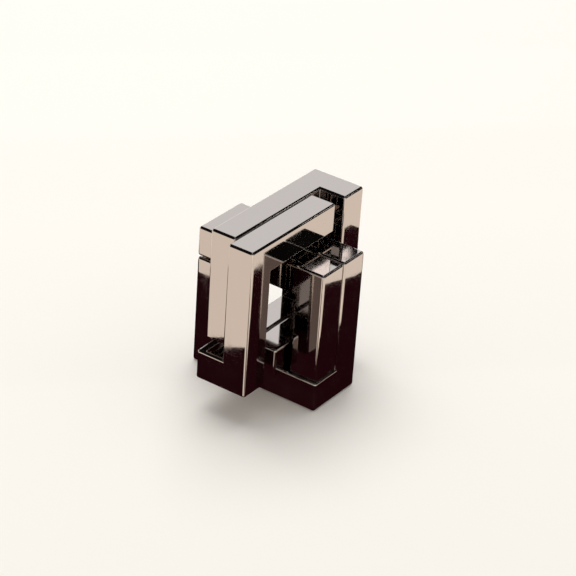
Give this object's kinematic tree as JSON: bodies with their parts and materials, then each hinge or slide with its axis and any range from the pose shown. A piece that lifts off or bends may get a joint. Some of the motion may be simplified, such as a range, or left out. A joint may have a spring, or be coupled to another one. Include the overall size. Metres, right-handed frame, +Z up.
{
  "type": "disentanglement puzzle",
  "caption": "Rectangular split rings of polished metal bar, hung in each other as crossed pairs, which slide and lift on each other until they can be turned apart.",
  "frame": {"origin": "on the surface that the puzzle stands on, under the centre of its bounding box", "axes": "+Z up; the lower pair of rings lies along X and the upper pair along Y, with the upper right ring's near column towards -Y"},
  "size_m": [0.04, 0.0488, 0.0511],
  "materials": {
    "black_nickel": "black nickel plating on polished zinc casting, mirror bright"
  },
  "bodies": {
    "lower_front": {"lower_front_ring": "black_nickel"},
    "lower_back": {"lower_back_ring": "black_nickel"},
    "upper_right": {"upper_right_ring": "black_nickel"},
    "upper_left": {"upper_left_ring": "black_nickel"}
  },
  "joints": [
    {"name": "lower_back_slide", "type": "slide", "parent": "lower_front", "child": "lower_back", "axis": [1, 0, 0], "range_m": [-0.0004, 0.0057]},
    {"name": "upper_pair_lift", "type": "slide", "parent": "lower_front", "child": "upper_right", "axis": [0, 0, 1], "range_m": [0, 0.0143]},
    {"name": "upper_left_slide", "type": "slide", "parent": "upper_right", "child": "upper_left", "axis": [0, 1, 0], "range_m": [-0.0034, 0.0057]}
  ]
}
